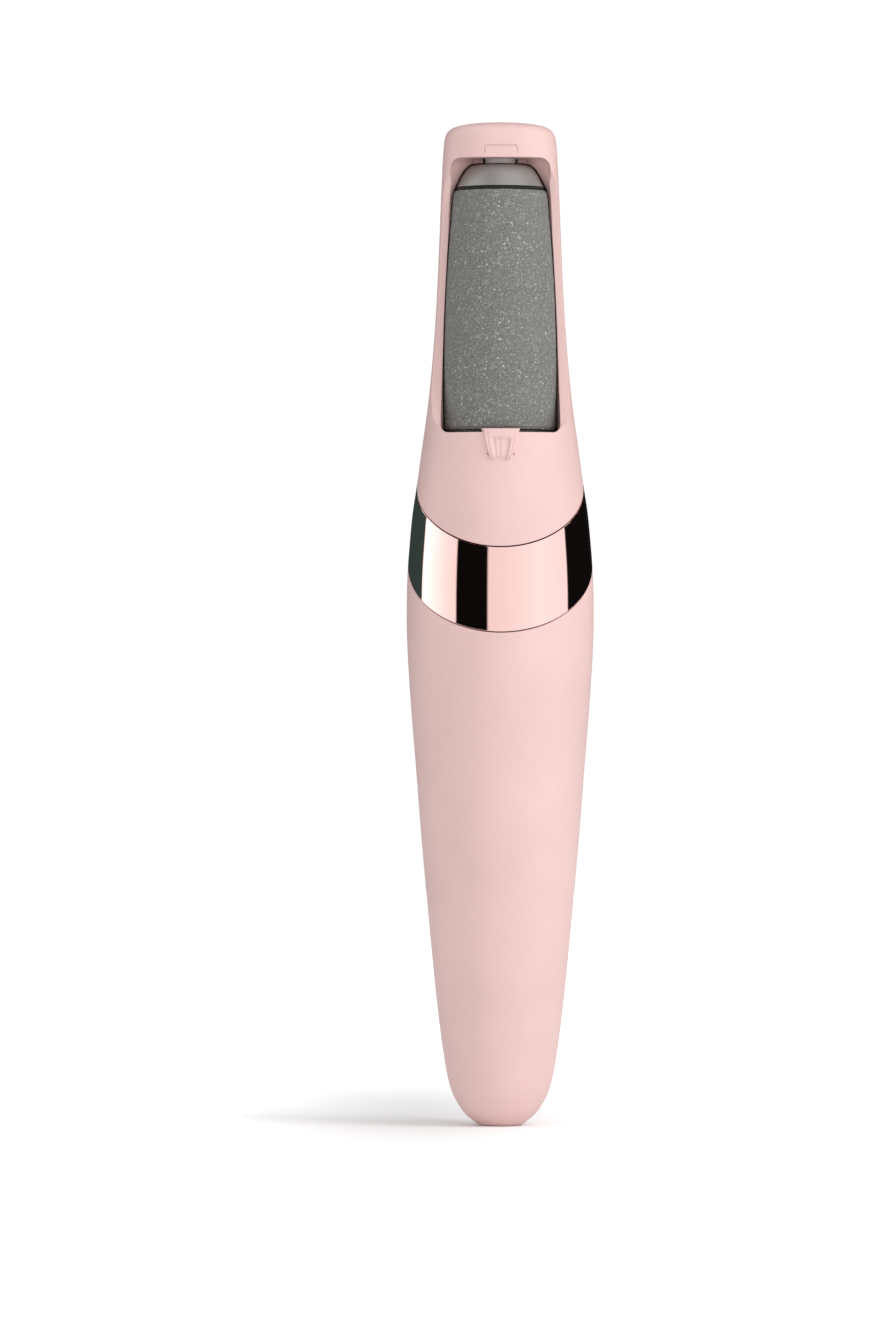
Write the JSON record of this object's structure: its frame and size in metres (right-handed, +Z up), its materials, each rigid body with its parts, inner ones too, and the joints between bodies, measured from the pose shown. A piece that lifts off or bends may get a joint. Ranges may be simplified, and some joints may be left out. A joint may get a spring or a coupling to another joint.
{
  "type": "electric callus remover",
  "caption": "Upright cordless foot file: slim handle flaring to an oblique trim band, and an arched head whose window holds a motor-driven abrasive roller with a release latch.",
  "frame": {"origin": "centre of the flat foot, on the surface that the device stands on", "axes": "+Z up the device to the crown of the arch; the roller window faces -Y; the power button faces +Y"},
  "size_m": [0.0354, 0.0348, 0.1891],
  "materials": {
    "handle_shell": "pearl pink, satin",
    "trim_band": "rose-gold mirror plate",
    "head_housing": "pearl pink, satin",
    "housing_seal": "black rubber",
    "latch_spring": "bare steel",
    "shaft_seal": "black rubber",
    "output_bushing": "turned",
    "gear_case": "black",
    "gear_case_screw_1": "bare steel",
    "gear_case_screw_2": "bare steel",
    "gear_case_cover": "bare steel",
    "motor_can": "bare steel",
    "motor_end_cap": "black",
    "motor_magnet_1": "ferrite",
    "motor_magnet_2": "ferrite",
    "motor_screw_1": "bare steel",
    "motor_screw_2": "bare steel",
    "chassis": "natural",
    "battery_cell": "sleeve",
    "battery_contact_positive": "bare steel",
    "battery_contact_negative": "bare steel",
    "circuit_board": "solder mask",
    "charger_chip": "black",
    "tactile_switch": "black",
    "status_led": "natural",
    "light_window": "clear grey",
    "motor_wire_red": "insulation",
    "motor_wire_black": "insulation",
    "charge_jack": "black",
    "jack_pin": "bare steel",
    "release_latch": "pearl pink, satin",
    "roller_bush": "clear grey",
    "abrasive_sleeve": "fine abrasive grit",
    "roller_core": "black",
    "drive_flange": "black",
    "dome_seal_ring": "black rubber",
    "dome_cap": "satin",
    "drive_coupling": "black",
    "output_shaft": "bare steel",
    "planet_carrier": "bare steel",
    "planet_pin_1": "bare steel",
    "planet_pin_2": "bare steel",
    "planet_pin_3": "bare steel",
    "planet_gear_1": "natural",
    "planet_gear_2": "natural",
    "planet_gear_3": "natural",
    "motor_rotor": "wound core",
    "motor_shaft": "bare steel",
    "sun_gear": "turned",
    "power_button": "pearl pink, satin"
  },
  "bodies": {
    "housing": {"handle_shell": "handle_shell", "trim_band": "trim_band", "head_housing": "head_housing", "housing_seal": "housing_seal", "latch_spring": "latch_spring", "shaft_seal": "shaft_seal", "output_bushing": "output_bushing", "gear_case": "gear_case", "gear_case_screw_1": "gear_case_screw_1", "gear_case_screw_2": "gear_case_screw_2", "gear_case_cover": "gear_case_cover", "motor_can": "motor_can", "motor_end_cap": "motor_end_cap", "motor_magnet_1": "motor_magnet_1", "motor_magnet_2": "motor_magnet_2", "motor_screw_1": "motor_screw_1", "motor_screw_2": "motor_screw_2", "chassis": "chassis", "battery_cell": "battery_cell", "battery_contact_positive": "battery_contact_positive", "battery_contact_negative": "battery_contact_negative", "circuit_board": "circuit_board", "charger_chip": "charger_chip", "tactile_switch": "tactile_switch", "status_led": "status_led", "light_window": "light_window", "motor_wire_red": "motor_wire_red", "motor_wire_black": "motor_wire_black", "charge_jack": "charge_jack", "jack_pin": "jack_pin"},
    "latch": {"release_latch": "release_latch"},
    "bearing": {"roller_bush": "roller_bush"},
    "roller": {"abrasive_sleeve": "abrasive_sleeve", "roller_core": "roller_core", "drive_flange": "drive_flange", "dome_seal_ring": "dome_seal_ring", "dome_cap": "dome_cap"},
    "output_drive": {"drive_coupling": "drive_coupling", "output_shaft": "output_shaft", "planet_carrier": "planet_carrier", "planet_pin_1": "planet_pin_1", "planet_pin_2": "planet_pin_2", "planet_pin_3": "planet_pin_3"},
    "planet_1": {"planet_gear_1": "planet_gear_1"},
    "planet_2": {"planet_gear_2": "planet_gear_2"},
    "planet_3": {"planet_gear_3": "planet_gear_3"},
    "rotor": {"motor_rotor": "motor_rotor", "motor_shaft": "motor_shaft", "sun_gear": "sun_gear"},
    "button": {"power_button": "power_button"}
  },
  "joints": [
    {"name": "roller_swing", "type": "hinge", "parent": "housing", "child": "bearing", "pos_m": [0, -0.002, 0.183], "axis": [-1, 0, 0], "range_deg": [0, 11]},
    {"name": "roller_spin", "type": "hinge", "parent": "bearing", "child": "roller", "pos_m": [0, -0.002, 0.183], "axis": [0, 0, 1], "continuous": true},
    {"name": "drive_spin", "type": "hinge", "parent": "housing", "child": "output_drive", "pos_m": [0, -0.002, 0.12], "axis": [0, 0, 1], "continuous": true},
    {"name": "rotor_spin", "type": "hinge", "parent": "housing", "child": "rotor", "pos_m": [0, -0.002, 0.09], "axis": [0, 0, 1], "continuous": true},
    {"name": "latch_slide", "type": "slide", "parent": "housing", "child": "latch", "axis": [0, -0.1338, -0.991], "range_m": [0, 0.0035], "stiffness_N_per_m": 60, "deforming": ["latch_spring"]},
    {"name": "power_press", "type": "slide", "parent": "housing", "child": "button", "axis": [0, -1, 0], "range_m": [0, 0.0005], "stiffness_N_per_m": 900},
    {"name": "planet_spin_1", "type": "hinge", "parent": "output_drive", "child": "planet_1", "pos_m": [0, 0.0034, 0.109], "axis": [0, 0, 1], "continuous": true},
    {"name": "planet_spin_2", "type": "hinge", "parent": "output_drive", "child": "planet_2", "pos_m": [-0.00468, -0.0047, 0.109], "axis": [0, 0, 1], "continuous": true},
    {"name": "planet_spin_3", "type": "hinge", "parent": "output_drive", "child": "planet_3", "pos_m": [0.00468, -0.0047, 0.109], "axis": [0, 0, 1], "continuous": true}
  ],
  "couplings": [
    {"joint": "drive_spin", "follows": "roller_spin", "ratio": 1},
    {"joint": "rotor_spin", "follows": "roller_spin", "ratio": 4},
    {"joint": "planet_spin_1", "follows": "roller_spin", "ratio": -3},
    {"joint": "planet_spin_2", "follows": "roller_spin", "ratio": -3},
    {"joint": "planet_spin_3", "follows": "roller_spin", "ratio": -3},
    {"joint": "latch_slide", "follows": "roller_swing", "m_per_rad": 0.01823}
  ]
}
